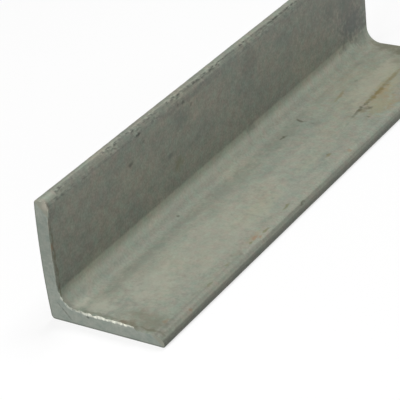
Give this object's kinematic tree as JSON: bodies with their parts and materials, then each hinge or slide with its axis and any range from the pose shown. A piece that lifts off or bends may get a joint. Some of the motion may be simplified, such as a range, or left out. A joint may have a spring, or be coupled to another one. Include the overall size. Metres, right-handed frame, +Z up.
{
  "type": "metal angle section",
  "caption": "Short cut piece of hot-rolled equal-leg steel angle with a filleted root and rounded toes, for framing, brackets and edging.",
  "frame": {"origin": "centre of the bar's box on the underside of the flat leg, where it rests on the floor", "axes": "+X from the heel towards the flat leg's toe, +Y along the bar, +Z up the upright leg, which stands at the -X side"},
  "size_m": [0.05, 0.245, 0.05],
  "materials": {
    "pickled_steel": "matte"
  },
  "bodies": {
    "root": {"angle_bar": "pickled_steel"}
  },
  "joints": []
}
